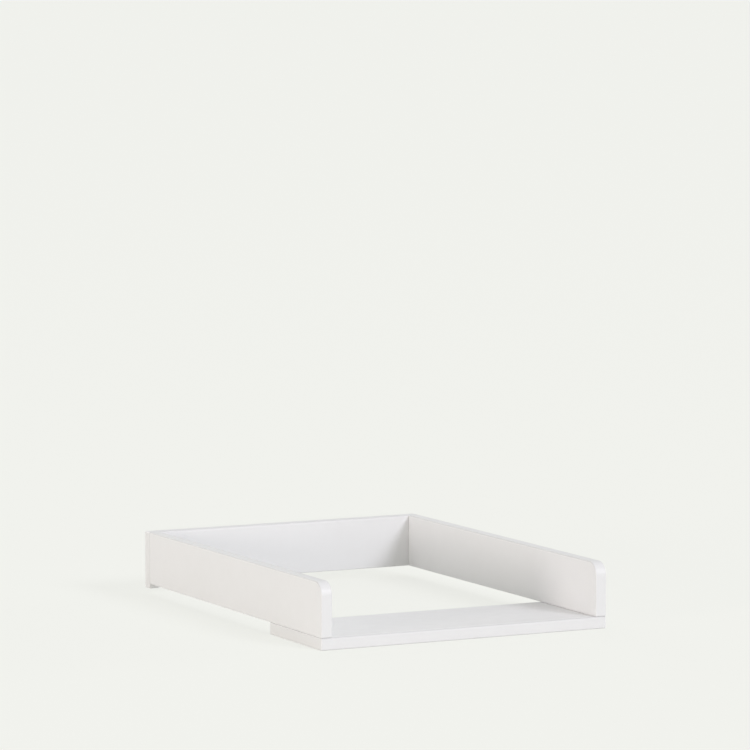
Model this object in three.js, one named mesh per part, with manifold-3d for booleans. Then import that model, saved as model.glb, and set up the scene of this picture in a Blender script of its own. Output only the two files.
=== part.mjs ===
// Changing board for the top of a chest of drawers: two side panels and a back panel
// stand round the mat, and a front board carries the mat past the front of the chest.
// Millimetres, +Z up, front towards -Y. The origin is the middle of the outline in plan,
// on the underside of the front board. The side panels' undersides and the front board's
// top are level with the top of the chest.

import * as THREE from "three";
import { mergeVertices } from "three/addons/utils/BufferGeometryUtils.js";
import Module from "manifold-3d";

const wasm = await Module();
wasm.setup();

// Panels
const overallWidth = 580;
const overallDepth = 770;
const wallHeight = 100;
const sideThickness = 22;
const backThickness = 22;
const frontBoardThickness = 22;
const frontBoardDepth = 212;
const frontCornerRadius = 25;
const edgeRadius = 2;
const sawnCornerRadius = 2.4;

// Ear at the left end of the back panel, which reaches down behind the chest's top
const earDrop = 9;
const earCornerRadius = 2.4;

// Connector screws, with a flat head, a plain collar and a coarse thread
const screwLength = 50;
const screwHeadRadius = 5;
const screwRimHeight = 1;
const screwConeHeight = 1.6;
const screwCollarRadius = 3.5;
const screwCollarLength = 9;
const threadRadius = 3.4;
const threadCoreRadius = 2.3;
const threadPitch = 3;
const screwTipLength = 4;
const screwTipRadius = 0.8;
const socketRadius = 2.3;
const socketDepth = 2.2;

// Fluted dowels
const dowelRadius = 4;
const dowelLength = 30;
const dowelFluteDepth = 0.35;
const dowelChamfer = 0.8;
const dowelDepthInFace = 12;

// Cover caps over the screw heads in the back panel
const capRadius = 6;
const capThickness = 1.8;
const capEdgeRadius = 0.5;
const capPegRadius = 1.9;
const capPegLength = 1.6;

// Places of the fixings
const rearScrewInset = 24;
const frontScrewInset = 36;
const frontDowelInset = 76;
const frontScrewRecess = 0.6;

// Fits
const boreClearance = 0.3;
const boreEndRoom = 0.6;
const faceRoom = 0.3;
const overrun = 1;

// Counts
const arcSegments = 12;
const earSegments = 4;
const edgeSegments = 3;
const boreSegments = 16;
const screwSegments = 8;
const ringsPerThread = 3;
const dowelFlutes = 12;
const socketSides = 6;

// Sizes that follow
const sideLength = overallDepth - backThickness;
const seatHeight = frontBoardThickness;
const earWidth = sideThickness;
const sideMiddle = (overallWidth - sideThickness) / 2;
const wellHalfWidth = overallWidth / 2 - sideThickness - faceRoom;
const rearScrewRecess = capThickness + boreClearance;
const threadLength = screwLength - screwRimHeight - screwConeHeight - screwCollarLength - screwTipLength;

const alongX = new THREE.Vector3(1, 0, 0);
const alongY = new THREE.Vector3(0, 1, 0);
const alongZ = new THREE.Vector3(0, 0, 1);
const againstX = alongX.clone().negate();
const againstY = alongY.clone().negate();

const paint = { color: 0xf1f0ec, roughness: 0.42, metalness: 0 };
const zinc = { color: 0xb9bcc0, roughness: 0.35, metalness: 1 };
const beech = { color: 0xd9b98c, roughness: 0.7, metalness: 0 };
const capPlastic = { color: 0xf3f3f1, roughness: 0.5, metalness: 0 };

// Solids from geometries and back, for the drilled and joined pieces

function solidOf(geometry) {
  const bare = geometry.clone();
  bare.deleteAttribute("normal");
  bare.deleteAttribute("uv");
  const merged = mergeVertices(bare);
  return new wasm.Manifold(new wasm.Mesh({
    numProp: 3,
    vertProperties: new Float32Array(merged.attributes.position.array),
    triVerts: new Uint32Array(merged.index.array),
  }));
}

function geometryOf(solid) {
  const mesh = solid.getMesh();
  const geometry = new THREE.BufferGeometry();
  geometry.setAttribute("position", new THREE.BufferAttribute(new Float32Array(mesh.vertProperties), 3));
  geometry.setIndex(new THREE.BufferAttribute(new Uint32Array(mesh.triVerts), 1));
  geometry.computeVertexNormals();
  return geometry;
}

function piece(name, geometry, finish) {
  const mesh = new THREE.Mesh(geometry, new THREE.MeshStandardMaterial(finish));
  mesh.name = name;
  return mesh;
}

// Outline round a list of corners, each with its own radius and steps
function roundedOutline(corners) {
  const points = [];
  corners.forEach(({ at, radius, steps }, i) => {
    const before = corners.at(i - 1).at;
    const after = corners[(i + 1) % corners.length].at;
    const wayIn = at.clone().sub(before).normalize();
    const wayOut = after.clone().sub(at).normalize();
    const start = at.clone().addScaledVector(wayIn, -radius);
    const centre = start.clone().addScaledVector(wayOut, radius);
    const turn = Math.sign(wayIn.cross(wayOut)) * Math.PI / 2;
    for (let step = 0; step <= steps; step += 1) {
      points.push(start.clone().rotateAround(centre, turn * step / steps));
    }
  });
  return new THREE.Shape(points);
}

function corner(x, y, radius, steps) {
  return { at: new THREE.Vector2(x, y), radius, steps };
}

function sawnCorner(x, y) {
  return corner(x, y, sawnCornerRadius, edgeSegments);
}

// Board cut to an outline, with every edge of its two faces rounded over
function boardGeometry(outline, thickness) {
  const geometry = new THREE.ExtrudeGeometry(outline, {
    depth: thickness - 2 * edgeRadius,
    bevelThickness: edgeRadius,
    bevelSize: edgeRadius,
    bevelOffset: -edgeRadius,
    bevelSegments: edgeSegments,
  });
  return geometry.translate(0, 0, edgeRadius);
}

// The side panel's outline is drawn along the depth and the height
function sidePanel(name, left) {
  const outline = roundedOutline([
    sawnCorner(0, 0),
    sawnCorner(sideLength, 0),
    sawnCorner(sideLength, wallHeight),
    corner(0, wallHeight, frontCornerRadius, arcSegments),
  ]);
  const geometry = boardGeometry(outline, sideThickness);
  const upright = new THREE.Matrix4().makeBasis(alongY, alongZ, alongX);
  const panel = piece(name, geometry.applyMatrix4(upright), paint);
  panel.position.set(left, -overallDepth / 2, seatHeight);
  return panel;
}

// The back panel's outline is drawn along the width and the height, from the side panels' undersides
function backPanel() {
  const half = overallWidth / 2;
  const outline = roundedOutline([
    sawnCorner(-half, -earDrop),
    corner(-half + earWidth, -earDrop, earCornerRadius, earSegments),
    corner(-half + earWidth, 0, earCornerRadius, earSegments),
    sawnCorner(half, 0),
    sawnCorner(half, wallHeight),
    sawnCorner(-half, wallHeight),
  ]);
  const geometry = boardGeometry(outline, backThickness);
  const upright = new THREE.Matrix4().makeBasis(alongX, alongZ, againstY);
  const panel = piece("back_panel", geometry.applyMatrix4(upright), paint);
  panel.position.set(0, overallDepth / 2, seatHeight);
  return panel;
}

function frontBoard() {
  const outline = roundedOutline([
    sawnCorner(0, 0),
    sawnCorner(overallWidth, 0),
    sawnCorner(overallWidth, frontBoardDepth),
    sawnCorner(0, frontBoardDepth),
  ]);
  const board = piece("front_board", boardGeometry(outline, frontBoardThickness), paint);
  board.position.set(-overallWidth / 2, -overallDepth / 2, 0);
  return board;
}

// Solid turned about +Z from [radius, height] points that climb from the axis back to it
function turned(points, segments) {
  const profile = points.map(([radius, height]) => new THREE.Vector2(radius, height));
  return new THREE.LatheGeometry(profile, segments).rotateX(Math.PI / 2);
}

// Screw with its head's face at the origin and its tip towards +Z
function screwGeometry() {
  const collarStart = screwRimHeight + screwConeHeight;
  const threadStart = collarStart + screwCollarLength;
  const rings = Math.round(threadLength / threadPitch * ringsPerThread);
  const points = [
    [0, 0],
    [screwHeadRadius, 0],
    [screwHeadRadius, screwRimHeight],
    [screwCollarRadius, collarStart],
    [screwCollarRadius, threadStart],
  ];
  for (let i = 1; i <= rings; i += 1) {
    points.push([threadCoreRadius, threadStart + threadLength * i / rings]);
  }
  points.push([screwTipRadius, screwLength], [0, screwLength]);
  const geometry = turned(points, screwSegments);
  const threadEnd = threadStart + threadLength;
  const position = geometry.attributes.position;
  const vertex = new THREE.Vector3();
  for (let i = 0; i < position.count; i += 1) {
    vertex.fromBufferAttribute(position, i);
    if (vertex.z > threadStart && vertex.z < threadEnd && Math.hypot(vertex.x, vertex.y) > 0) {
      const turns = vertex.z / threadPitch - Math.atan2(vertex.y, vertex.x) / (2 * Math.PI);
      const phase = turns - Math.floor(turns);
      const crest = 1 - Math.abs(2 * phase - 1);
      const radius = threadCoreRadius + (threadRadius - threadCoreRadius) * crest;
      const share = radius / Math.hypot(vertex.x, vertex.y);
      position.setXYZ(i, vertex.x * share, vertex.y * share, vertex.z);
    }
  }
  const socket = new THREE.CylinderGeometry(socketRadius, socketRadius, socketDepth + overrun, socketSides)
    .rotateX(Math.PI / 2)
    .translate(0, 0, (socketDepth - overrun) / 2);
  return geometryOf(solidOf(geometry).subtract(solidOf(socket)));
}

// Bore round a screw, open past the face that its head is sunk into
function screwBore(recess, mouthRadius) {
  const rim = screwRimHeight + boreClearance;
  const seat = screwRimHeight + screwConeHeight + boreClearance;
  return turned([
    [0, -recess - overrun],
    [mouthRadius, -recess - overrun],
    [mouthRadius, 0],
    [screwHeadRadius + boreClearance, 0],
    [screwHeadRadius + boreClearance, rim],
    [screwCollarRadius + boreClearance, seat],
    [screwCollarRadius + boreClearance, seat + screwCollarLength],
    [threadRadius + boreClearance, seat + screwCollarLength],
    [threadRadius + boreClearance, screwLength + boreEndRoom],
    [0, screwLength + boreEndRoom],
  ], boreSegments);
}

// Dowel along +Z from the origin, with pressed flutes and chamfered ends
function dowelGeometry() {
  const outline = new THREE.Shape();
  const corners = 2 * dowelFlutes;
  for (let i = 0; i < corners; i += 1) {
    const angle = i / corners * 2 * Math.PI;
    const radius = i % 2 === 0 ? dowelRadius : dowelRadius - dowelFluteDepth;
    const point = new THREE.Vector2(radius, 0).rotateAround(new THREE.Vector2(), angle);
    if (i === 0) {
      outline.moveTo(point.x, point.y);
    } else {
      outline.lineTo(point.x, point.y);
    }
  }
  outline.closePath();
  const geometry = new THREE.ExtrudeGeometry(outline, {
    depth: dowelLength - 2 * dowelChamfer,
    bevelThickness: dowelChamfer,
    bevelSize: dowelChamfer,
    bevelOffset: -dowelChamfer,
    bevelSegments: 1,
  });
  return geometry.translate(0, 0, dowelChamfer);
}

function dowelBore() {
  const radius = dowelRadius + boreClearance;
  const length = dowelLength + 2 * boreEndRoom;
  return new THREE.CylinderGeometry(radius, radius, length, boreSegments)
    .rotateX(Math.PI / 2)
    .translate(0, 0, dowelLength / 2);
}

// Cap with its face at the origin and its peg towards +Z, in the screw's socket
function capGeometry() {
  const disc = turned([
    [0, 0],
    [capRadius - capEdgeRadius, 0],
    [capRadius, capEdgeRadius],
    [capRadius, capThickness],
    [0, capThickness],
  ], boreSegments);
  const peg = new THREE.CylinderGeometry(capPegRadius, capPegRadius, capPegLength + overrun, socketSides)
    .rotateX(Math.PI / 2)
    .translate(0, 0, capThickness + (capPegLength - overrun) / 2);
  return geometryOf(solidOf(disc).add(solidOf(peg)));
}

// A joint holds its fixings along its own +Z, each with the bore that it needs in the boards
function addFixing(joint, name, geometry, finish, bore, x, depth) {
  const fixing = piece(name, geometry, finish);
  fixing.position.set(x, 0, depth);
  fixing.userData.bore = bore;
  joint.add(fixing);
}

// Rear joint: driven from the back panel's rear face into the side panel's end
function rearJoint(side, x) {
  const joint = new THREE.Group();
  joint.position.set(x, overallDepth / 2, seatHeight);
  joint.setRotationFromMatrix(new THREE.Matrix4().makeBasis(alongZ, againstX, againstY));
  const heights = { lower: rearScrewInset, upper: wallHeight - rearScrewInset };
  for (const [level, height] of Object.entries(heights)) {
    const bore = screwBore(rearScrewRecess, capRadius + boreClearance);
    addFixing(joint, `rear_screw_${side}_${level}`, screwGeometry(), zinc, bore, height, rearScrewRecess);
    addFixing(joint, `screw_cap_${side}_${level}`, capGeometry(), capPlastic, null, height, 0);
  }
  const depth = backThickness - dowelDepthInFace;
  addFixing(joint, `rear_dowel_${side}`, dowelGeometry(), beech, dowelBore(), wallHeight / 2, depth);
  return joint;
}

// Front joint: driven from the front board's underside into the side panel's lower edge
function frontJoint(side, x) {
  const joint = new THREE.Group();
  joint.position.set(x, -overallDepth / 2, 0);
  joint.setRotationFromMatrix(new THREE.Matrix4().makeBasis(alongY, againstX, alongZ));
  const screwPlaces = { front: frontScrewInset, rear: frontBoardDepth - frontScrewInset };
  for (const [end, place] of Object.entries(screwPlaces)) {
    const bore = screwBore(frontScrewRecess, screwHeadRadius + boreClearance);
    addFixing(joint, `front_screw_${side}_${end}`, screwGeometry(), zinc, bore, place, frontScrewRecess);
  }
  const dowelPlaces = { front: frontDowelInset, rear: frontBoardDepth - frontDowelInset };
  const depth = frontBoardThickness - dowelDepthInFace;
  for (const [end, place] of Object.entries(dowelPlaces)) {
    addFixing(joint, `front_dowel_${side}_${end}`, dowelGeometry(), beech, dowelBore(), place, depth);
  }
  return joint;
}

// Bore a board for every fixing of a joint
function drill(board, joint) {
  board.updateMatrixWorld(true);
  joint.updateMatrixWorld(true);
  const toBoard = board.matrixWorld.clone().invert();
  let solid = solidOf(board.geometry);
  for (const fixing of joint.children.filter((child) => child.userData.bore)) {
    const bore = fixing.userData.bore.clone().applyMatrix4(fixing.matrixWorld).applyMatrix4(toBoard);
    solid = solid.subtract(solidOf(bore));
  }
  board.geometry = geometryOf(solid);
}

// Block between two corners of the part's own frame
function blockBetween(low, high) {
  const size = high.clone().sub(low);
  const middle = low.clone().add(high).divideScalar(2);
  return new THREE.BoxGeometry(size.x, size.y, size.z).translate(middle.x, middle.y, middle.z);
}

// Part a board's flat faces along the sides of a block, with the board's shape as it was
function score(board, block) {
  const cutter = solidOf(block.clone().applyMatrix4(board.matrixWorld.clone().invert()));
  const whole = solidOf(board.geometry);
  const inside = whole.intersect(cutter).asOriginal();
  const outside = whole.subtract(cutter).asOriginal();
  board.geometry = geometryOf(inside.add(outside));
}

const changingBoard = new THREE.Group();
const back = backPanel();
const front = frontBoard();
changingBoard.add(back, front);

// The faces that rest on a chest or carry the mat end where the neighbouring boards start
const lowest = new THREE.Vector3(-overallWidth, -overallDepth, -overallDepth);
const highest = lowest.clone().negate();
const seat = blockBetween(lowest.clone().setY(frontBoardDepth - overallDepth / 2 + faceRoom), highest);
const ear = blockBetween(lowest, highest.clone().setZ(seatHeight - faceRoom));
const well = blockBetween(lowest.clone().setX(-wellHalfWidth), highest.clone().setX(wellHalfWidth));

for (const [side, x] of [["left", -sideMiddle], ["right", sideMiddle]]) {
  const panel = sidePanel(`${side}_side_panel`, x - sideThickness / 2);
  const behind = rearJoint(side, x);
  const below = frontJoint(side, x);
  drill(panel, behind);
  drill(panel, below);
  drill(back, behind);
  drill(front, below);
  score(panel, seat);
  changingBoard.add(panel, behind, below);
}
score(back, ear);
score(front, well);

export default changingBoard;
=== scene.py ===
"""Changing board in white lacquered fibreboard, with its screws, dowels and cover caps."""

import math
import random
from collections import namedtuple
from functools import partial

import bmesh
import bpy
from bpy.props import FloatProperty, FloatVectorProperty, IntProperty, PointerProperty
from mathutils import Matrix, Vector


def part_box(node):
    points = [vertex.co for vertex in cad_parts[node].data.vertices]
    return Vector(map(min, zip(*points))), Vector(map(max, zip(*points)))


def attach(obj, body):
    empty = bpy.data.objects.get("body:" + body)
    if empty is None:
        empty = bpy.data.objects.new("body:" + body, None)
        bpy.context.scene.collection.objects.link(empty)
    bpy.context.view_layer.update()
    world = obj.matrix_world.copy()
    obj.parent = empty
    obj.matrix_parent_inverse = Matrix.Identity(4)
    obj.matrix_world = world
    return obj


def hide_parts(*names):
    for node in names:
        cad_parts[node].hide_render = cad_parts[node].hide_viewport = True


bl_info = {
    "name": "Changing Board",
    "version": (1, 0, 0),
    "blender": (4, 5, 0),
    "location": "3D View > Sidebar > Changing Board",
    "description": "Builds the boards, fixings and studio of a changing board",
    "category": "Add Mesh",
}

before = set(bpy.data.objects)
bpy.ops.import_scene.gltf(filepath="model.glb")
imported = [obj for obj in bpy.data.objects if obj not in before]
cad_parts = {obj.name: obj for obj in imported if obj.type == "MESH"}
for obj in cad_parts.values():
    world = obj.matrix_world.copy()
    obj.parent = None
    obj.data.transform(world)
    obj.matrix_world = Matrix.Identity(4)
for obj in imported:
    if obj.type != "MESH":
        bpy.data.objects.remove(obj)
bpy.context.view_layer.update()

SIDES = ("left", "right")
LEVELS = ("lower", "upper")
ENDS = ("front", "rear")
RIM_ATTRIBUTE = "rim"
# Attribute that holds the painted shade along the arrises and on the top edges
EDGE_SHADE_ATTRIBUTE = "edge_shade"
BATCH_ATTRIBUTE = "batch"
SCREW_SEED = 11
DOWEL_SEED = 23
CAP_SEED = 37
FLOOR_SIDES = 64

# Faces that meet at a wider angle than this keep a sharp edge between them
SHARP_ANGLE = math.radians(35)

# Painted shade along an arris, and how much more or less of it where the arris faces up or down
EDGE_SHADE_SHARE = 0.35
EDGE_SHADE_UPWARD_SHARE = 0.85

# Painted shade on a top edge, and how soon it ends where the edge curves down
TOP_SHADE_SHARE = 0.45
TOP_SHADE_POWER = 8

# The floor lies a hair below the part, so that no two faces lie in one plane
FLOOR_DROP = 0.0002

# Far lamps, in degrees: turn from the front towards the right, height over the floor, and spread
Sun = namedtuple("Sun", "turn height spread")
KEY_SUN = Sun(turn=22, height=30, spread=18)
TOP_SUN = Sun(turn=180, height=45, spread=60)
REAR_SUN = Sun(turn=180, height=6, spread=25)
RIGHT_SUN = Sun(turn=90, height=4, spread=25)
SUN_DISTANCE = 3.0

# The softbox on the left, in degrees and metres
Softbox = namedtuple("Softbox", "turn distance height width tall")
LEFT_SOFTBOX = Softbox(turn=-72, distance=15.0, height=1.65, width=3.0, tall=3.2)


def middle_of(node):
    """The middle of a node's box."""
    low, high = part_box(node)
    return (low + high) / 2


def size_of(node):
    """The sides of a node's box."""
    low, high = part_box(node)
    return high - low


def length_and_radius(node):
    """The length and the radius of a long fixing."""
    size = size_of(node)
    return max(size), min(size) / 2


# Properties in metres, shown to four places, and properties that are colours
length_property = partial(FloatProperty, unit="LENGTH", precision=4)
colour_property = partial(FloatVectorProperty, subtype="COLOR")


class BoardSizes(bpy.types.PropertyGroup):
    """Roundings of the boards and the room in their bores."""

    edge_radius: length_property(
        name="Edge radius", description="Rounding along both faces of a board", default=0.002,
    )
    sawn_corner_radius: length_property(
        name="Sawn corner radius", description="Rounding of a board's sawn corners", default=0.0024,
    )
    front_corner_radius: length_property(
        name="Front corner radius", description="Rounding of a side panel's upper front corner",
        default=0.025,
    )
    ear_corner_radius: length_property(
        name="Ear corner radius", description="Rounding inside and outside the back panel's ear",
        default=0.0024,
    )
    bore_clearance: length_property(
        name="Bore clearance", description="Room round a fixing in its bore", default=0.0003,
    )
    bore_end_room: length_property(
        name="Bore end room", description="Room past a fixing's end in its bore", default=0.0006,
    )
    edge_steps: IntProperty(name="Edge steps", description="Steps of an edge's rounding", default=6)
    sawn_steps: IntProperty(
        name="Sawn corner steps", description="Steps of a sawn corner", default=5,
    )
    corner_steps: IntProperty(
        name="Corner steps", description="Steps of the front corner", default=36,
    )
    bore_steps: IntProperty(name="Bore steps", description="Steps round a bore", default=48)


class ScrewSizes(bpy.types.PropertyGroup):
    """Shape of a connector screw, from its head's face to its tip."""

    rim_height: length_property(
        name="Rim height", description="Height of the head's straight rim", default=0.001,
    )
    cone_height: length_property(
        name="Cone height", description="Height of the cone under the head", default=0.0016,
    )
    collar_radius: length_property(
        name="Collar radius", description="Radius of the plain collar", default=0.0035,
    )
    collar_length: length_property(
        name="Collar length", description="Length of the plain collar", default=0.009,
    )
    thread_radius: length_property(
        name="Thread radius", description="Radius at the thread's crest", default=0.0034,
    )
    core_radius: length_property(
        name="Core radius", description="Radius at the thread's root", default=0.0023,
    )
    thread_pitch: length_property(
        name="Thread pitch", description="Distance from one turn of the thread to the next",
        default=0.003,
    )
    crest_share: FloatProperty(
        name="Crest share", description="Share of the pitch that the thread's ridge takes",
        default=0.5, subtype="FACTOR",
    )
    tip_length: length_property(
        name="Tip length", description="Length of the tip's taper", default=0.004,
    )
    tip_radius: length_property(
        name="Tip radius", description="Radius of the blunt point", default=0.0008,
    )
    socket_radius: length_property(
        name="Socket radius", description="Radius at the hexagonal socket's corners",
        default=0.0023,
    )
    socket_depth: length_property(
        name="Socket depth", description="Depth of the hexagonal socket", default=0.0022,
    )
    edge_break: length_property(
        name="Edge break", description="Rounding of the head's edges and the socket's mouth",
        default=0.00025, precision=5,
    )
    around: IntProperty(name="Steps around", description="Steps round the screw", default=30)
    rings_per_turn: IntProperty(
        name="Rings per turn", description="Rings in a turn of thread", default=12,
    )


class DowelSizes(bpy.types.PropertyGroup):
    """Shape of a fluted dowel."""

    flutes: IntProperty(name="Flutes", description="Pressed grooves round a dowel", default=12)
    flute_depth: length_property(
        name="Flute depth", description="Depth of a pressed groove", default=0.00035, precision=5,
    )
    chamfer: length_property(
        name="Chamfer", description="Taper of the dowel's ends", default=0.0008,
    )
    steps_per_flute: IntProperty(
        name="Steps per flute", description="Steps across a groove", default=6,
    )


class CapSizes(bpy.types.PropertyGroup):
    """Shape of a cover cap."""

    thickness: length_property(
        name="Thickness", description="Thickness of the cap's disc", default=0.0018,
    )
    crown: length_property(
        name="Crown", description="How far the middle of the face stands out past its edge",
        default=0.00018, precision=5,
    )
    edge_radius: length_property(
        name="Edge radius", description="Rounding of the face's edge", default=0.0005,
    )
    peg_radius: length_property(
        name="Peg radius", description="Radius at the corners of the peg in the screw's socket",
        default=0.0019,
    )
    peg_lead: length_property(
        name="Peg lead", description="Taper at both ends of the peg", default=0.0003, precision=5,
    )
    gate_radius: length_property(
        name="Gate radius", description="Radius of the moulding mark in the middle of the face",
        default=0.0006, precision=5,
    )
    gate_depth: length_property(
        name="Gate depth", description="Depth of the moulding mark", default=0.00006, precision=5,
    )
    face_rings: IntProperty(
        name="Face rings", description="Rings across the crowned face", default=6,
    )
    edge_steps: IntProperty(name="Edge steps", description="Steps of the face's edge", default=5)


class Finishes(bpy.types.PropertyGroup):
    """Colours and surfaces of the materials."""

    lacquer: colour_property(
        name="Lacquer", description="White of the sprayed boards", default=(0.8, 0.8, 0.8),
    )
    lacquer_shade: colour_property(
        name="Lacquer shade", description="White where the coat is thinner",
        default=(0.775, 0.773, 0.77),
    )
    lacquer_roughness: FloatProperty(
        name="Lacquer roughness", description="Roughness of the satin coat",
        default=0.38, subtype="FACTOR",
    )
    peel_depth: length_property(
        name="Orange peel depth", description="Height of the waves in the sprayed coat",
        default=0.00006, precision=6,
    )
    lacquer_sawn: colour_property(
        name="Lacquer sawn", description="White of the sawn edges, which soak up more of the coat",
        default=(0.77, 0.769, 0.766),
    )
    # Colour of the painted shade along the upper arrises and on the top edges
    lacquer_edge_shade: colour_property(
        name="Lacquer arris", description="White where the coat is rubbed thin along an edge",
        default=(0.645, 0.644, 0.64),
    )
    fibreboard: colour_property(
        name="Fibreboard", description="Raw board in the bores", default=(0.42, 0.29, 0.17),
    )
    fibreboard_dark: colour_property(
        name="Fibreboard dark", description="Darker fibres of the raw board",
        default=(0.25, 0.16, 0.09),
    )
    zinc: colour_property(
        name="Zinc", description="Bright zinc plate", default=(0.66, 0.68, 0.71),
    )
    zinc_dull: colour_property(
        name="Zinc dull", description="Clouded zinc plate", default=(0.5, 0.51, 0.52),
    )
    beech: colour_property(
        name="Beech", description="Light wood between the growth lines", default=(0.66, 0.47, 0.29),
    )
    beech_dark: colour_property(
        name="Beech dark", description="Growth lines and rays", default=(0.42, 0.25, 0.13),
    )
    cap: colour_property(
        name="Cap", description="White moulded plastic", default=(0.8, 0.8, 0.795),
    )
    cap_shade: colour_property(
        name="Cap shade", description="Flow marks in the plastic", default=(0.77, 0.77, 0.762),
    )


class Studio(bpy.types.PropertyGroup):
    """Floor, lamps and camera."""

    backdrop: colour_property(
        name="Backdrop", description="Colour of the floor and the backdrop",
        default=(0.871, 0.879, 0.84),
    )
    bounce_share: FloatProperty(
        name="Bounce share",
        description="Share of its light that the floor throws back on the object",
        default=0.79, subtype="FACTOR",
    )
    shadow_share: FloatProperty(
        name="Shadow share",
        description="Share of the floor's colour that the object's shadow dims",
        default=0.2, subtype="FACTOR",
    )
    floor_radius: length_property(
        name="Floor radius", description="Reach of the floor", default=150.0, precision=2,
    )
    dome_level: FloatProperty(
        name="Dome level", description="Light from all round, where 1 shows a colour as written",
        default=0.53, subtype="FACTOR",
    )
    key_colour: colour_property(
        name="Key colour", description="Colour of the key lamp", default=(0.92, 0.92, 1.0),
    )
    key_level: FloatProperty(
        name="Key level", description="Light of the key lamp", default=0.457, subtype="FACTOR",
    )
    left_colour: colour_property(
        name="Left colour", description="Colour of the softbox on the left",
        default=(1.0, 0.915, 0.87),
    )
    left_level: FloatProperty(
        name="Left level", description="Light of the softbox on the left",
        default=0.385, subtype="FACTOR",
    )
    top_level: FloatProperty(
        name="Top level", description="Light of the broad lamp above and behind",
        default=0.14, subtype="FACTOR",
    )
    rear_level: FloatProperty(
        name="Rear level", description="Light of the lamp behind", default=0.18, subtype="FACTOR",
    )
    right_level: FloatProperty(
        name="Right level", description="Light of the lamp on the right",
        default=0.3, subtype="FACTOR",
    )
    camera_place: FloatVectorProperty(
        name="Camera place", description="Where the camera stands",
        default=(-3.7457, -7.4463, 1.2713), subtype="TRANSLATION", precision=4,
    )
    camera_turn: FloatProperty(
        name="Camera turn", description="Turn of the view from straight back towards the right",
        default=math.radians(26.77), unit="ROTATION",
    )
    camera_dip: FloatProperty(
        name="Camera dip", description="Dip of the view under the horizon",
        default=math.radians(5.667), unit="ROTATION",
    )
    lens: FloatProperty(
        name="Lens", description="Focal length of the camera", default=215.4, unit="CAMERA",
    )


class ChangingBoardSettings(bpy.types.PropertyGroup):
    """All the sizes and colours of the changing board."""

    board: PointerProperty(type=BoardSizes, name="Boards", description="Roundings and bores")
    screw: PointerProperty(type=ScrewSizes, name="Screws", description="Connector screws")
    dowel: PointerProperty(type=DowelSizes, name="Dowels", description="Fluted dowels")
    cap: PointerProperty(type=CapSizes, name="Caps", description="Cover caps")
    finish: PointerProperty(type=Finishes, name="Finishes", description="Colours and surfaces")
    studio: PointerProperty(type=Studio, name="Studio", description="Floor, lamps and camera")


class Term:
    """An output socket that takes part in arithmetic."""

    def __init__(self, shader, socket):
        self.shader = shader
        self.socket = socket

    def joined(self, operation, first, second):
        """The term of a Math node on two values."""
        return self.shader.node("ShaderNodeMath", {"operation": operation}, {0: first, 1: second})

    def __add__(self, other):
        return self.joined("ADD", self, other)

    __radd__ = __add__

    def __sub__(self, other):
        return self.joined("SUBTRACT", self, other)

    def __rsub__(self, other):
        return self.joined("SUBTRACT", other, self)

    def __mul__(self, other):
        return self.joined("MULTIPLY", self, other)

    __rmul__ = __mul__

    def over(self, limit):
        """1 where the value is over a limit, and 0 elsewhere."""
        return self.joined("GREATER_THAN", self, limit)

    def or_higher(self, other):
        """The higher of two values."""
        return self.joined("MAXIMUM", self, other)


# Places of a Mix node's two colour sockets, and of its colour output
FIRST_COLOUR = 6
SECOND_COLOUR = 7
MIXED_COLOUR = 2


class Shader:
    """A node tree that is built from expressions."""

    def __init__(self, tree):
        self.tree = tree
        self.tree.nodes.clear()

    def node(self, kind, settings=None, values=None, output=0):
        """A node with its settings and its sockets' values or links, as the term of one output."""
        made = self.tree.nodes.new(kind)
        for name, value in (settings or {}).items():
            setattr(made, name, value)
        for name, value in (values or {}).items():
            if isinstance(value, Term):
                self.tree.links.new(value.socket, made.inputs[name])
            else:
                made.inputs[name].default_value = value
        return Term(self, made.outputs[output])

    def place(self):
        """The point on the piece, in the piece's own metres."""
        return self.node("ShaderNodeTexCoord", output="Object")

    def attribute(self, name):
        """A number that is stored on the piece's points."""
        return self.node("ShaderNodeAttribute", {"attribute_name": name}, output="Fac")

    def stretched(self, place, x, y, z):
        """A place with its coordinates multiplied, so that a pattern on it is drawn out."""
        settings = {"operation": "MULTIPLY"}
        return self.node("ShaderNodeVectorMath", settings, {0: place, 1: (x, y, z)})

    def noise(self, place, wave, detail=2.0, roughness=0.5):
        """Noise with waves of about this length in metres."""
        values = {"Vector": place, "Scale": 1 / wave, "Detail": detail, "Roughness": roughness}
        return self.node("ShaderNodeTexNoise", {}, values, "Fac")

    def line_noise(self, along, wave, detail):
        """Noise along a line, with waves of about this length in metres."""
        values = {"W": along, "Scale": 1 / wave, "Detail": detail}
        return self.node("ShaderNodeTexNoise", {"noise_dimensions": "1D"}, values, "Fac")

    def cells(self, place, width, output="Distance"):
        """Cells about this wide in metres, as the distance to their points or another output."""
        return self.node("ShaderNodeTexVoronoi", {}, {"Vector": place, "Scale": 1 / width}, output)

    def ranged(self, value, low, high, to_low=0.0, to_high=1.0):
        """A value between two limits as a value between two others."""
        values = {
            "Value": value, "From Min": low, "From Max": high, "To Min": to_low, "To Max": to_high,
        }
        return self.node("ShaderNodeMapRange", {"clamp": True}, values)

    def mixed(self, factor, first, second):
        """A colour between two others."""
        settings = {"data_type": "RGBA", "clamp_factor": True}
        values = {0: factor, FIRST_COLOUR: first, SECOND_COLOUR: second}
        return self.node("ShaderNodeMix", settings, values, MIXED_COLOUR)

    def finish(self, colour, roughness, height, depth, constants=None):
        """A surface with a colour, a roughness and a relief of a depth in metres."""
        relief = {"Height": height, "Distance": depth, "Strength": 1.0}
        normal = self.node("ShaderNodeBump", {}, relief)
        values = {"Base Color": colour, "Roughness": roughness, "Normal": normal}
        values.update(constants or {})
        surface = self.node("ShaderNodeBsdfPrincipled", {}, values)
        self.node_output(surface)

    def node_output(self, surface, kind="ShaderNodeOutputMaterial"):
        """Links the finished surface to the tree's output."""
        output = self.tree.nodes.new(kind)
        self.tree.links.new(surface.socket, output.inputs["Surface"])


def opaque(colour):
    """A colour with its alpha."""
    return (*colour, 1.0)


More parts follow.
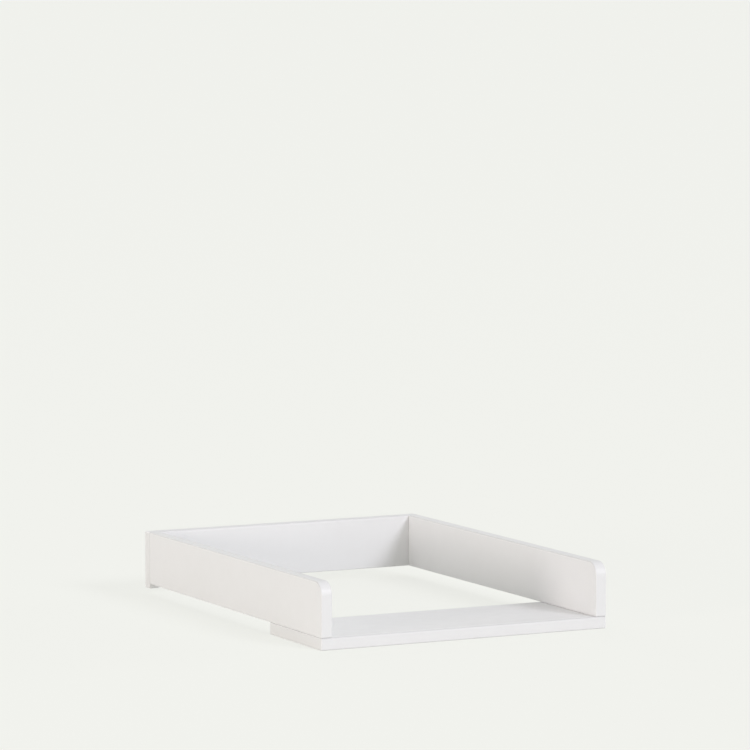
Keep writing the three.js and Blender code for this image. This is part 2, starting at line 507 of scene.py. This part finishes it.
def made_once(name, build):
    """The material of that name, built by its function where it doesn't exist yet."""
    material = bpy.data.materials.get(name)
    if material is None:
        material = bpy.data.materials.new(name)
        material.use_nodes = True
        build(Shader(material.node_tree), bpy.context.scene.changing_board.finish)
    return material


def build_lacquer(shader, finish):
    """Sprayed satin lacquer with orange peel, dust nibs, fibres raised along sawn edges, and
    painted edge shade.
    """
    place = shader.place()
    rim = shader.attribute(RIM_ATTRIBUTE)
    edge_shade = shader.attribute(EDGE_SHADE_ATTRIBUTE)
    drift = shader.noise(place, wave=0.17)
    cloud = shader.noise(place, wave=0.026, detail=3.0)
    peel = shader.noise(place, wave=0.003, roughness=0.45)
    spray = shader.noise(place, wave=0.0007)
    fibres = shader.noise(place, wave=0.0004, detail=3.0, roughness=0.65) * rim
    nib_spacing = 0.014
    from_nib = shader.cells(place, nib_spacing)
    nib_place = shader.cells(place, nib_spacing, "Position")
    nib = shader.ranged(from_nib, low=0.012, high=0.03, to_low=1.0, to_high=0.0)
    chosen = shader.noise(nib_place, wave=0.0011, detail=0.0).over(0.66)
    thin = 0.3 * drift + 0.2 * cloud + 0.1 * spray
    thinness = shader.ranged(thin, low=0.15, high=0.45)
    even = shader.mixed(thinness, opaque(finish.lacquer), opaque(finish.lacquer_shade))
    sawn = shader.mixed(rim, even, opaque(finish.lacquer_sawn))
    # Painted shade: the lacquer darkens towards this colour along the upper arrises and on the top
    # edges
    colour = shader.mixed(edge_shade, sawn, opaque(finish.lacquer_edge_shade))
    uneven = shader.ranged(cloud, low=0.3, high=0.7, to_low=-0.04, to_high=0.04)
    roughness = finish.lacquer_roughness + uneven + 0.05 * (spray - 0.5) - 0.05 * edge_shade
    height = 0.62 * peel + 0.16 * spray + 0.3 * fibres + 0.5 * nib * chosen
    gloss = {"IOR": 1.48, "Specular IOR Level": 0.3}
    shader.finish(colour, roughness, height, depth=finish.peel_depth, constants=gloss)


def build_fibreboard(shader, finish):
    """Raw fibreboard, as a drill leaves it."""
    place = shader.place()
    fibres = shader.noise(place, wave=0.0004, detail=4.0, roughness=0.7)
    clumps = shader.noise(place, wave=0.002)
    dark = shader.ranged(0.6 * fibres + 0.4 * clumps, low=0.35, high=0.65)
    colour = shader.mixed(dark, opaque(finish.fibreboard), opaque(finish.fibreboard_dark))
    roughness = 0.82 + 0.15 * fibres
    shader.finish(colour, roughness, fibres + 0.5 * clumps, depth=0.0001)


def build_zinc(shader, finish):
    """Bright zinc plate, with turning marks round the screw's axis."""
    place = shader.place()
    round_axis = shader.stretched(place, 1.0, 1.0, 0.0)
    radius = shader.node("ShaderNodeVectorMath", {"operation": "LENGTH"}, {0: round_axis}, "Value")
    height = shader.node("ShaderNodeSeparateXYZ", {}, {"Vector": place}, "Z")
    marks = shader.line_noise(radius + height, wave=0.00011, detail=3.0)
    batch = 0.2 * shader.attribute(BATCH_ATTRIBUTE)
    clouds = shader.noise(place, wave=0.0024, detail=3.0) + batch
    pits = shader.noise(place, wave=0.0002)
    dull = shader.ranged(0.7 * clouds + 0.3 * marks, low=0.35, high=0.75)
    colour = shader.mixed(dull, opaque(finish.zinc), opaque(finish.zinc_dull))
    roughness = 0.2 + 0.2 * dull + 0.1 * marks
    relief = 0.7 * marks + 0.3 * pits
    shader.finish(colour, roughness, relief, depth=0.00002, constants={"Metallic": 1.0})


def build_beech(shader, finish):
    """Beech with its grain along the dowel."""
    place = shader.place()
    along = shader.stretched(place, 1.0, 1.0, 0.05)
    lines = shader.noise(along, wave=0.0011, detail=4.0, roughness=0.6)
    bands = shader.noise(along, wave=0.0038)
    flecks = shader.cells(shader.stretched(place, 1.0, 1.0, 0.22), width=0.00067)
    rays = shader.ranged(flecks, low=0.1, high=0.22, to_low=1.0, to_high=0.0)
    dark = shader.ranged(0.45 * lines + 0.4 * bands + 0.2 * rays, low=0.32, high=0.8)
    batch = 0.2 * shader.attribute(BATCH_ATTRIBUTE)
    colour = shader.mixed(dark + batch, opaque(finish.beech), opaque(finish.beech_dark))
    roughness = 0.55 + 0.25 * lines
    shader.finish(colour, roughness, lines + 0.4 * rays, depth=0.00006)


def build_cap_plastic(shader, finish):
    """Moulded plastic with a fine eroded grain."""
    place = shader.place()
    grain = shader.noise(place, wave=0.00024, roughness=0.6)
    batch = 0.2 * shader.attribute(BATCH_ATTRIBUTE)
    flow = shader.noise(place, wave=0.0053) + batch
    shade = shader.ranged(0.75 * flow + 0.25 * grain, low=0.35, high=0.75)
    colour = shader.mixed(shade, opaque(finish.cap), opaque(finish.cap_shade))
    roughness = 0.44 + 0.12 * grain
    shader.finish(colour, roughness, grain, depth=0.000025, constants={"IOR": 1.49})


def lacquer():
    return made_once("white lacquer", build_lacquer)


def fibreboard():
    return made_once("raw fibreboard", build_fibreboard)


def zinc():
    return made_once("zinc plate", build_zinc)


def beech():
    return made_once("beech", build_beech)


def cap_plastic():
    return made_once("cap plastic", build_cap_plastic)


class Corner:
    """A corner of a board's outline, with its rounding."""

    def __init__(self, x, y, radius, steps):
        self.place = Vector((x, y))
        self.radius = radius
        self.steps = steps


def sawn_corners(places, sizes):
    """Corners as the saw leaves them, with their edges just broken."""
    return [Corner(x, y, sizes.sawn_corner_radius, sizes.sawn_steps) for x, y in places]


def left_of(way):
    return Vector((-way.y, way.x))


def outline_points(corners, inset):
    """Points along an outline that runs anticlockwise, moved inwards, with its roundings."""
    points = []
    for i, corner in enumerate(corners):
        way_in = (corner.place - corners[i - 1].place).normalized()
        way_out = (corners[(i + 1) % len(corners)].place - corner.place).normalized()
        turn = math.copysign(1.0, way_in.cross(way_out))
        radius = corner.radius - turn * inset
        tip = corner.place + inset * (left_of(way_in) + left_of(way_out))
        start = tip - radius * way_in
        centre = start + radius * way_out
        for step in range(corner.steps + 1):
            angle = turn * math.pi / 2 * step / corner.steps
            points.append(centre + Matrix.Rotation(angle, 2) @ (start - centre))
    return points


def board_mesh(corners, thickness, upright, sizes):
    """Closed mesh of a board over its outline, with its edges rounded along both faces."""
    radius = sizes.edge_radius
    lower = []
    for step in range(sizes.edge_steps + 1):
        angle = math.pi / 2 * step / sizes.edge_steps
        lower.append((radius * (1 - math.sin(angle)), radius * (1 - math.cos(angle))))
    upper = [(inset, thickness - height) for inset, height in reversed(lower)]
    mesh = bmesh.new()
    rings = []
    for inset, height in lower + upper:
        outline = outline_points(corners, inset)
        rings.append([mesh.verts.new(upright @ Vector((p.x, p.y, height))) for p in outline])
    for ring, following in zip(rings, rings[1:]):
        for i, vertex in enumerate(ring):
            mesh.faces.new((ring[i - 1], vertex, following[i], following[i - 1]))
    mesh.faces.new(reversed(rings[0]))
    mesh.faces.new(rings[-1])
    bmesh.ops.recalc_face_normals(mesh, faces=mesh.faces)
    return mesh


def turned_mesh(rows, around):
    """Closed mesh of rings round +Z.

    A row is a radius, a height and, where the ring isn't round, its reach as a share by angle.
    """
    mesh = bmesh.new()
    rings = []
    for radius, height, *share in rows:
        if radius == 0:
            rings.append([mesh.verts.new((0.0, 0.0, height))] * around)
            continue
        ring = []
        for i in range(around):
            angle = 2 * math.pi * i / around
            reach = radius * share[0](angle) if share else radius
            ring.append(mesh.verts.new((reach * math.cos(angle), reach * math.sin(angle), height)))
        rings.append(ring)
    for ring, following in zip(rings, rings[1:]):
        for i in range(around):
            corners = (ring[i - 1], ring[i], following[i], following[i - 1])
            mesh.faces.new(dict.fromkeys(corners))
    bmesh.ops.recalc_face_normals(mesh, faces=mesh.faces)
    return mesh


def check_closed(data, name):
    """Stops the script where the mesh isn't closed."""
    mesh = bmesh.new()
    mesh.from_mesh(data)
    open_edges = sum(not edge.is_manifold for edge in mesh.edges)
    mesh.free()
    if open_edges:
        raise RuntimeError(f"{name} has {open_edges} open edges")


def shaded(mesh_data):
    """Smooth shading, with sharp edges where two faces meet at a wide angle."""
    mesh_data.shade_smooth()
    mesh_data.set_sharp_from_angle(angle=SHARP_ANGLE)


def placed(name, mesh, materials, matrix=None):
    """A piece made of a closed mesh, which rides on the frame and stands for its node."""
    data = bpy.data.meshes.new(name + "_mesh")
    mesh.to_mesh(data)
    mesh.free()
    check_closed(data, name)
    for material in materials:
        data.materials.append(material)
    shaded(data)
    piece = bpy.data.objects.new(name + "_piece", data)
    if matrix is not None:
        piece.matrix_world = matrix
    bpy.context.scene.collection.objects.link(piece)
    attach(piece, "root")
    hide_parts(name)
    return piece


def mark_batch(piece, value):
    """Gives a piece its own place in the range of its material."""
    attribute = piece.data.attributes.new(BATCH_ATTRIBUTE, "FLOAT", "POINT")
    attribute.data.foreach_set("value", [value] * len(piece.data.vertices))


def basis(x_way, y_way, z_way, origin):
    """The matrix of a frame with these axes at this origin."""
    matrix = Matrix((x_way, y_way, z_way)).transposed().to_4x4()
    matrix.translation = origin
    return matrix


def rear_place(node):
    """The frame of a fixing at its rear end, with +Z forward into the back panel."""
    middle = middle_of(node)
    return basis((0, 0, 1), (-1, 0, 0), (0, -1, 0), (middle.x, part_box(node)[1].y, middle.z))


def lower_place(node):
    """The frame of a fixing at its lower end, with +Z up into the front board."""
    middle = middle_of(node)
    return basis((0, 1, 0), (-1, 0, 0), (0, 0, 1), (middle.x, middle.y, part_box(node)[0].z))


def rear_screws(side):
    return [f"rear_screw_{side}_{level}" for level in LEVELS]


def screw_caps(side):
    return [f"screw_cap_{side}_{level}" for level in LEVELS]


def rear_dowels(side):
    return [f"rear_dowel_{side}"]


def front_screws(side):
    return [f"front_screw_{side}_{end}" for end in ENDS]


def front_dowels(side):
    return [f"front_dowel_{side}_{end}" for end in ENDS]


def places_of(rear, lower):
    """The fixings of one kind with their frames, those of the rear joints first."""
    places = [(node, rear_place(node)) for side in SIDES for node in rear(side)]
    return places + [(node, lower_place(node)) for side in SIDES for node in lower(side)]


def bore_mesh(profile, matrix, settings):
    """Closed mesh of a bore's room, turned from its profile and set in its place."""
    mesh = turned_mesh(profile, settings.board.bore_steps)
    bmesh.ops.transform(mesh, matrix=matrix, verts=mesh.verts)
    return mesh


def screw_bore(node, matrix, mouth_radius, mouth_depth, settings):
    """Bore round a screw, open past the face that its head is sunk into."""
    sizes, room = settings.screw, settings.board.bore_clearance
    length, head = length_and_radius(node)
    rim = sizes.rim_height + room
    seat = rim + sizes.cone_height
    collar = seat + sizes.collar_length
    end = length + settings.board.bore_end_room
    profile = [
        (0, -mouth_depth), (mouth_radius, -mouth_depth), (mouth_radius, 0), (head + room, 0),
        (head + room, rim), (sizes.collar_radius + room, seat),
        (sizes.collar_radius + room, collar), (sizes.thread_radius + room, collar),
        (sizes.thread_radius + room, end), (0, end),
    ]
    return bore_mesh(profile, matrix, settings)


def dowel_bore(node, matrix, settings):
    """Bore round a dowel, a little longer than it."""
    length, radius = length_and_radius(node)
    room, end = settings.board.bore_clearance, settings.board.bore_end_room
    profile = [(0, -end), (radius + room, -end), (radius + room, length + end), (0, length + end)]
    return bore_mesh(profile, matrix, settings)


def rear_bores(side, settings):
    """The bores of a rear joint, for its screws, caps and dowel."""
    bores = []
    for screw, cap in zip(rear_screws(side), screw_caps(side)):
        mouth = size_of(cap).x / 2 + settings.board.bore_clearance
        depth = 2 * (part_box(cap)[1].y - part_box(screw)[1].y)
        bores.append(screw_bore(screw, rear_place(screw), mouth, depth, settings))
    for dowel in rear_dowels(side):
        bores.append(dowel_bore(dowel, rear_place(dowel), settings))
    return bores


def lower_bores(side, settings):
    """The bores of a front joint, for its screws and dowels."""
    bores = []
    for screw in front_screws(side):
        mouth = size_of(screw).x / 2 + settings.board.bore_clearance
        depth = 2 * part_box(screw)[0].z
        bores.append(screw_bore(screw, lower_place(screw), mouth, depth, settings))
    for dowel in front_dowels(side):
        bores.append(dowel_bore(dowel, lower_place(dowel), settings))
    return bores


def cutter_of(bores):
    """One object of all the bores' room, in raw fibreboard."""
    whole = bmesh.new()
    for bore in bores:
        part = bpy.data.meshes.new("bore")
        bore.to_mesh(part)
        bore.free()
        whole.from_mesh(part)
        bpy.data.meshes.remove(part)
    joined = bpy.data.meshes.new("bores")
    whole.to_mesh(joined)
    whole.free()
    joined.materials.append(fibreboard())
    cutter = bpy.data.objects.new("bores", joined)
    bpy.context.scene.collection.objects.link(cutter)
    return cutter


def drill(piece, bores):
    """Cuts the bores into a board, with raw fibreboard inside them."""
    cutter = cutter_of(bores)
    modifier = piece.modifiers.new("bores", "BOOLEAN")
    modifier.operation = "DIFFERENCE"
    modifier.solver = "EXACT"
    modifier.material_mode = "TRANSFER"
    modifier.object = cutter
    graph = bpy.context.evaluated_depsgraph_get()
    drilled = bpy.data.meshes.new_from_object(piece.evaluated_get(graph))
    check_closed(drilled, piece.name)
    piece.modifiers.remove(modifier)
    blank, bores_data = piece.data, cutter.data
    piece.data = drilled
    bpy.data.objects.remove(cutter)
    bpy.data.meshes.remove(bores_data)
    bpy.data.meshes.remove(blank)
    shaded(drilled)


def end_share(normal):
    """How far a rim faces along X rather than Y, from 0 to 1."""
    level = normal.x ** 2 + normal.y ** 2
    return normal.x ** 2 / level if level > 0 else 0.0


def edge_shade_at(rim, normal, covered_ends):
    """Painted shade at a point: along an arris, more where it faces up, and less so on a top edge.
    """
    shade_weight = min(max(EDGE_SHADE_SHARE + EDGE_SHADE_UPWARD_SHARE * normal.z, 0.0), 1.0)
    if covered_ends:
        shade_weight *= 1 - end_share(normal)
    arris = 4 * rim * (1 - rim)
    top = TOP_SHADE_SHARE * max(normal.z, 0.0) ** TOP_SHADE_POWER
    return arris * shade_weight + rim * top


def mark_rim(piece, upright, thickness, radius, covered_ends):
    """Stores how far round to the board's rim each point lies, from 0 to 1, and its painted edge
    shade.
    """
    to_board = upright.inverted()
    rims, edge_shades = [], []
    for vertex in piece.data.vertices:
        height = (to_board @ vertex.co).z
        sunk = min(max(min(height, thickness - height), 0.0), radius)
        rim = math.acos(1 - sunk / radius) / (math.pi / 2)
        rims.append(rim)
        edge_shades.append(edge_shade_at(rim, vertex.normal, covered_ends))
    for name, values in ((RIM_ATTRIBUTE, rims), (EDGE_SHADE_ATTRIBUTE, edge_shades)):
        attribute = piece.data.attributes.new(name, "FLOAT", "POINT")
        attribute.data.foreach_set("value", values)


def evened(piece):
    """Shades the broad faces flat, and blends the roundings into them."""
    modifier = piece.modifiers.new("normals", "WEIGHTED_NORMAL")
    modifier.mode = "FACE_AREA"
    modifier.keep_sharp = True


def add_board(name, corners, thickness, upright, bores, sizes, covered_ends=False):
    """A lacquered board with its bores. With covered ends, the arrises of its ends, where other
    boards stand on them, get no painted shade.
    """
    mesh = board_mesh(corners, thickness, upright, sizes)
    piece = placed(name, mesh, [lacquer(), fibreboard()])
    drill(piece, bores)
    mark_rim(piece, upright, thickness, sizes.edge_radius, covered_ends)
    evened(piece)


def add_side_panel(side, settings):
    """A side panel, with its rounded upper front corner."""
    name = f"{side}_side_panel"
    sizes = settings.board
    low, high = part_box(name)
    corners = sawn_corners([(low.y, low.z), (high.y, low.z), (high.y, high.z)], sizes)
    corners.append(Corner(low.y, high.z, sizes.front_corner_radius, sizes.corner_steps))
    upright = basis((0, 1, 0), (0, 0, 1), (1, 0, 0), (low.x, 0, 0))
    bores = rear_bores(side, settings) + lower_bores(side, settings)
    add_board(name, corners, high.x - low.x, upright, bores, sizes)


def add_back_panel(settings):
    """The back panel, with an ear at its left end that reaches below the side panel."""
    sizes = settings.board
    low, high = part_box("back_panel")
    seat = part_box("left_side_panel")[0].z
    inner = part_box("left_side_panel")[1].x
    ear = (sizes.ear_corner_radius, sizes.sawn_steps)
    corners = [Corner(inner, low.z, *ear), Corner(inner, seat, *ear)]
    places = [(high.x, seat), (high.x, high.z), (low.x, high.z), (low.x, low.z)]
    corners += sawn_corners(places, sizes)
    upright = basis((1, 0, 0), (0, 0, 1), (0, -1, 0), (0, high.y, 0))
    bores = [bore for side in SIDES for bore in rear_bores(side, settings)]
    add_board("back_panel", corners, high.y - low.y, upright, bores, sizes)


def add_front_board(settings):
    """The front board, whose ends lie under the side panels."""
    sizes = settings.board
    low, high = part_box("front_board")
    places = [(low.x, low.y), (high.x, low.y), (high.x, high.y), (low.x, high.y)]
    corners = sawn_corners(places, sizes)
    upright = basis((1, 0, 0), (0, 1, 0), (0, 0, 1), (0, 0, low.z))
    bores = [bore for side in SIDES for bore in lower_bores(side, settings)]
    add_board("front_board", corners, high.z - low.z, upright, bores, sizes, covered_ends=True)


def hexagon(angle):
    """Reach of a hexagon at an angle, as a share of its corners' radius."""
    past_corner = angle % (math.pi / 3)
    return math.cos(math.pi / 6) / math.cos(past_corner - math.pi / 6)


def screw_mesh(length, head, sizes):
    """Connector screw with its head's face at the origin and its tip towards +Z."""
    edge = sizes.edge_break
    collar_start = sizes.rim_height + sizes.cone_height
    thread_start = collar_start + sizes.collar_length
    thread_end = length - sizes.tip_length
    rows = [
        (0, sizes.socket_depth),
        (sizes.socket_radius, sizes.socket_depth, hexagon),
        (sizes.socket_radius, edge, hexagon),
        (sizes.socket_radius + edge, 0),
        (head - edge, 0),
        (head, edge),
        (head, sizes.rim_height),
        (sizes.collar_radius, collar_start),
        (sizes.collar_radius, thread_start),
    ]
    rings = round((thread_end - thread_start) / sizes.thread_pitch * sizes.rings_per_turn)
    for i in range(1, rings + 1):
        height = thread_start + (thread_end - thread_start) * i / rings
        rows.append((sizes.core_radius, height, thread_share(height, thread_end, sizes)))
    rows.append((sizes.tip_radius, length - edge))
    rows.append((sizes.tip_radius - edge, length))
    rows.append((0, length))
    return turned_mesh(rows, sizes.around)


def thread_share(height, thread_end, sizes):
    """Reach of the thread round the core at a height, which fades out over the last turn."""
    fade = min(1.0, (thread_end - height) / sizes.thread_pitch)
    ridge = (sizes.thread_radius / sizes.core_radius - 1) * fade

    def share(angle):
        phase = (height / sizes.thread_pitch - angle / (2 * math.pi)) % 1
        crest = max(0.0, 1 - abs(2 * phase - 1) / sizes.crest_share)
        return 1 + ridge * crest

    return share


def dowel_mesh(length, radius, sizes):
    """Fluted dowel from the origin along +Z, with tapered ends."""
    depth = sizes.flute_depth / radius

    def fluted(angle):
        return 1 - depth * (0.5 - 0.5 * math.cos(sizes.flutes * angle)) ** 2

    taper = sizes.chamfer
    inner = radius - taper
    rows = [
        (0, 0), (inner, 0), (inner + taper / 2, taper / 4, fluted), (radius, taper, fluted),
        (radius, length / 2, fluted), (radius, length - taper, fluted),
        (inner + taper / 2, length - taper / 4, fluted), (inner, length), (0, length),
    ]
    return turned_mesh(rows, sizes.flutes * sizes.steps_per_flute)


def cap_mesh(length, radius, sizes, steps):
    """Crowned cap with its face at the origin and its hexagonal peg towards +Z."""
    lead = sizes.peg_lead
    face = radius - sizes.edge_radius
    rows = [(0, sizes.gate_depth), (sizes.gate_radius - sizes.gate_depth, sizes.gate_depth)]
    for i in range(sizes.face_rings + 1):
        reach = sizes.gate_radius + (face - sizes.gate_radius) * i / sizes.face_rings
        rows.append((reach, sizes.crown * (reach / face) ** 2))
    for i in range(1, sizes.edge_steps + 1):
        angle = math.pi / 2 * i / sizes.edge_steps
        reach = face + sizes.edge_radius * math.sin(angle)
        rows.append((reach, sizes.crown + sizes.edge_radius * (1 - math.cos(angle))))
    rows += [
        (radius, sizes.thickness),
        (sizes.peg_radius + lead, sizes.thickness),
        (sizes.peg_radius, sizes.thickness + lead, hexagon),
        (sizes.peg_radius, length - lead, hexagon),
        (sizes.peg_radius - lead, length, hexagon),
        (0, length),
    ]
    return turned_mesh(rows, steps)


class CHANGINGBOARD_OT_side_panels(bpy.types.Operator):
    """Make both side panels, with their rounded front corners"""

    bl_idname = "changing_board.side_panels"
    bl_label = "Side Panels"
    bl_options = {"REGISTER", "UNDO"}

    def execute(self, context):
        for side in SIDES:
            add_side_panel(side, context.scene.changing_board)
        return {"FINISHED"}


class CHANGINGBOARD_OT_back_panel(bpy.types.Operator):
    """Make the back panel with its ear"""

    bl_idname = "changing_board.back_panel"
    bl_label = "Back Panel"
    bl_options = {"REGISTER", "UNDO"}

    def execute(self, context):
        add_back_panel(context.scene.changing_board)
        return {"FINISHED"}


class CHANGINGBOARD_OT_front_board(bpy.types.Operator):
    """Make the front board, which carries the mat past the chest"""

    bl_idname = "changing_board.front_board"
    bl_label = "Front Board"
    bl_options = {"REGISTER", "UNDO"}

    def execute(self, context):
        add_front_board(context.scene.changing_board)
        return {"FINISHED"}


class CHANGINGBOARD_OT_screws(bpy.types.Operator):
    """Make the connector screws of the rear and front joints"""

    bl_idname = "changing_board.screws"
    bl_label = "Connector Screws"
    bl_options = {"REGISTER", "UNDO"}

    def execute(self, context):
        sizes = context.scene.changing_board.screw
        chance = random.Random(SCREW_SEED)
        for node, matrix in places_of(rear_screws, front_screws):
            mesh = screw_mesh(*length_and_radius(node), sizes)
            mark_batch(placed(node, mesh, [zinc()], matrix), chance.random())
        return {"FINISHED"}


class CHANGINGBOARD_OT_dowels(bpy.types.Operator):
    """Make the fluted dowels of the rear and front joints"""

    bl_idname = "changing_board.dowels"
    bl_label = "Dowels"
    bl_options = {"REGISTER", "UNDO"}

    def execute(self, context):
        sizes = context.scene.changing_board.dowel
        chance = random.Random(DOWEL_SEED)
        for node, matrix in places_of(rear_dowels, front_dowels):
            mesh = dowel_mesh(*length_and_radius(node), sizes)
            mark_batch(placed(node, mesh, [beech()], matrix), chance.random())
        return {"FINISHED"}


class CHANGINGBOARD_OT_cover_caps(bpy.types.Operator):
    """Make the cover caps over the screws in the back panel"""

    bl_idname = "changing_board.cover_caps"
    bl_label = "Cover Caps"
    bl_options = {"REGISTER", "UNDO"}

    def execute(self, context):
        settings = context.scene.changing_board
        chance = random.Random(CAP_SEED)
        for node in [cap for side in SIDES for cap in screw_caps(side)]:
            size = size_of(node)
            mesh = cap_mesh(size.y, size.x / 2, settings.cap, settings.board.bore_steps)
            piece = placed(node, mesh, [cap_plastic()], rear_place(node))
            mark_batch(piece, chance.random())
        return {"FINISHED"}


def seen_directly(shader):
    """1 for what the camera sees straight on, in a reflection or through glass."""
    camera = shader.node("ShaderNodeLightPath", output="Is Camera Ray")
    glossy = shader.node("ShaderNodeLightPath", output="Is Glossy Ray")
    transmission = shader.node("ShaderNodeLightPath", output="Is Transmission Ray")
    return camera.or_higher(glossy).or_higher(transmission)


def build_floor(studio, open_light):
    """Pale floor that keeps a soft shadow and looks as written in the open light."""
    material = bpy.data.materials.new("floor")
    material.use_nodes = True
    shader = Shader(material.node_tree)
    colour = Vector(part / light for part, light in zip(studio.backdrop, open_light))
    lit = shader.node("ShaderNodeBsdfDiffuse", {}, {"Color": opaque(colour)})
    plain = shader.node("ShaderNodeEmission", {}, {"Color": opaque(studio.backdrop)})
    shown = shader.node("ShaderNodeMixShader", {}, {0: studio.shadow_share, 1: plain, 2: lit})
    bounce = opaque(colour * studio.bounce_share)
    thrown = shader.node("ShaderNodeBsdfDiffuse", {}, {"Color": bounce})
    surface = {0: seen_directly(shader), 1: thrown, 2: shown}
    shader.node_output(shader.node("ShaderNodeMixShader", {}, surface))
    mesh = bmesh.new()
    bmesh.ops.create_circle(mesh, cap_ends=True, radius=studio.floor_radius, segments=FLOOR_SIDES)
    data = bpy.data.meshes.new("floor")
    mesh.to_mesh(data)
    mesh.free()
    data.materials.append(material)
    floor = bpy.data.objects.new("floor", data)
    floor.location.z = -FLOOR_DROP
    bpy.context.scene.collection.objects.link(floor)


def build_world(studio):
    """Even light from all round, in front of a backdrop of the floor's colour."""
    world = bpy.data.worlds.new("studio")
    world.use_nodes = True
    shader = Shader(world.node_tree)
    dome = [studio.dome_level] * 3
    colour = shader.mixed(seen_directly(shader), opaque(dome), opaque(studio.backdrop))
    light = shader.node("ShaderNodeBackground", {}, {"Color": colour, "Strength": 1.0})
    shader.node_output(light, "ShaderNodeOutputWorld")
    bpy.context.scene.world = world


def heading(turn, height):
    """The way out at a turn from the front towards the right, and at a height over the floor."""
    level = math.cos(height)
    return Vector((math.sin(turn) * level, -math.cos(turn) * level, math.sin(height)))


def add_aimed(name, data, place, back):
    """A lamp or camera at its place, with its back turned this way."""
    made = bpy.data.objects.new(name, data)
    made.location = place
    made.rotation_mode = "QUATERNION"
    made.rotation_quaternion = back.to_track_quat("Z", "Y")
    bpy.context.scene.collection.objects.link(made)
    return made


def add_sun(name, sun, level, colour=(1.0, 1.0, 1.0)):
    """Far soft lamp. Returns its light on the open floor, by colour."""
    light = bpy.data.lights.new(name, "SUN")
    light.energy = level * math.pi
    light.angle = math.radians(sun.spread)
    light.color = colour
    back = heading(math.radians(sun.turn), math.radians(sun.height))
    add_aimed(name, light, back * SUN_DISTANCE, back)
    return level * back.z * Vector(colour)


def add_softbox(name, box, level, colour):
    """Wide lamp that faces the board, and lights it as a sun of the same level would."""
    light = bpy.data.lights.new(name, "AREA")
    light.shape = "RECTANGLE"
    light.size = box.width
    light.size_y = box.tall
    light.energy = level * math.pi ** 2 * box.distance ** 2
    light.color = colour
    place = heading(math.radians(box.turn), 0) * box.distance + Vector((0, 0, box.height))
    add_aimed(name, light, place, place).visible_camera = False


def add_camera(studio):
    """The camera at the photograph's place."""
    data = bpy.data.cameras.new("camera")
    data.lens = studio.lens
    data.clip_end = 2 * studio.floor_radius
    back = heading(-studio.camera_turn, studio.camera_dip)
    bpy.context.scene.camera = add_aimed("camera", data, studio.camera_place, back)


class CHANGINGBOARD_OT_studio(bpy.types.Operator):
    """Make the floor, the lamps and the camera"""

    bl_idname = "changing_board.studio"
    bl_label = "Studio"
    bl_options = {"REGISTER", "UNDO"}

    def execute(self, context):
        studio = context.scene.changing_board.studio
        open_light = Vector([studio.dome_level] * 3)
        open_light += add_sun("key_lamp", KEY_SUN, studio.key_level, studio.key_colour)
        open_light += add_sun("top_lamp", TOP_SUN, studio.top_level)
        open_light += add_sun("rear_lamp", REAR_SUN, studio.rear_level)
        open_light += add_sun("right_lamp", RIGHT_SUN, studio.right_level)
        add_softbox("left_softbox", LEFT_SOFTBOX, studio.left_level, studio.left_colour)
        build_floor(studio, open_light)
        build_world(studio)
        add_camera(studio)
        context.scene.view_settings.view_transform = "Standard"
        return {"FINISHED"}


class CHANGINGBOARD_PT_panel(bpy.types.Panel):
    """Lists the operators of the changing board"""

    bl_label = "Changing Board"
    bl_idname = "CHANGINGBOARD_PT_panel"
    bl_space_type = "VIEW_3D"
    bl_region_type = "UI"
    bl_category = "Changing Board"

    def draw(self, context):
        for operator in OPERATORS:
            self.layout.operator(operator.bl_idname)


OPERATORS = (
    CHANGINGBOARD_OT_side_panels,
    CHANGINGBOARD_OT_back_panel,
    CHANGINGBOARD_OT_front_board,
    CHANGINGBOARD_OT_screws,
    CHANGINGBOARD_OT_dowels,
    CHANGINGBOARD_OT_cover_caps,
    CHANGINGBOARD_OT_studio,
)
GROUPS = (BoardSizes, ScrewSizes, DowelSizes, CapSizes, Finishes, Studio, ChangingBoardSettings)
CLASSES = (*GROUPS, *OPERATORS, CHANGINGBOARD_PT_panel)


def register():
    for cls in CLASSES:
        bpy.utils.register_class(cls)
    bpy.types.Scene.changing_board = PointerProperty(type=ChangingBoardSettings)


def unregister():
    del bpy.types.Scene.changing_board
    for cls in reversed(CLASSES):
        bpy.utils.unregister_class(cls)


def main():
    register()
    bpy.ops.changing_board.side_panels()
    bpy.ops.changing_board.back_panel()
    bpy.ops.changing_board.front_board()
    bpy.ops.changing_board.screws()
    bpy.ops.changing_board.dowels()
    bpy.ops.changing_board.cover_caps()
    bpy.ops.changing_board.studio()


if __name__ == "__main__":
    main()
